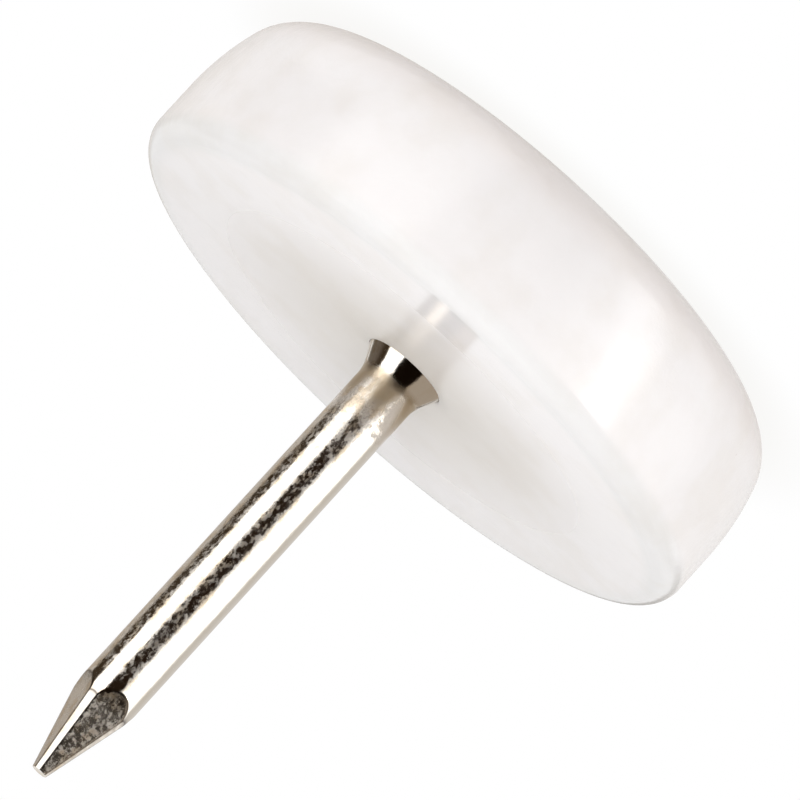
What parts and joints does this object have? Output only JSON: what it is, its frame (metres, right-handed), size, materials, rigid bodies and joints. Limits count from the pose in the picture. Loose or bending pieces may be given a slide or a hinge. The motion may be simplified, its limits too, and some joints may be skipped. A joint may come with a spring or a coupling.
{
  "type": "nail-on furniture glide",
  "caption": "Round moulded plastic pad with a plated steel nail standing from its middle; nailed under a furniture leg so that it slides on the pad.",
  "frame": {"origin": "centre of the flat sliding face, at the bottom of the pad", "axes": "+Z from the sliding face along the nail to its point; +X and +Y square to two of the point's four facets"},
  "size_m": [0.02, 0.02, 0.0211],
  "materials": {
    "pad_plastic": "white moulded polyethylene, satin, slightly translucent",
    "nail_plating": "bright nickel plating over drawn steel, lightly pitted"
  },
  "bodies": {
    "root": {"glide_pad": "pad_plastic", "nail": "nail_plating"}
  },
  "joints": []
}
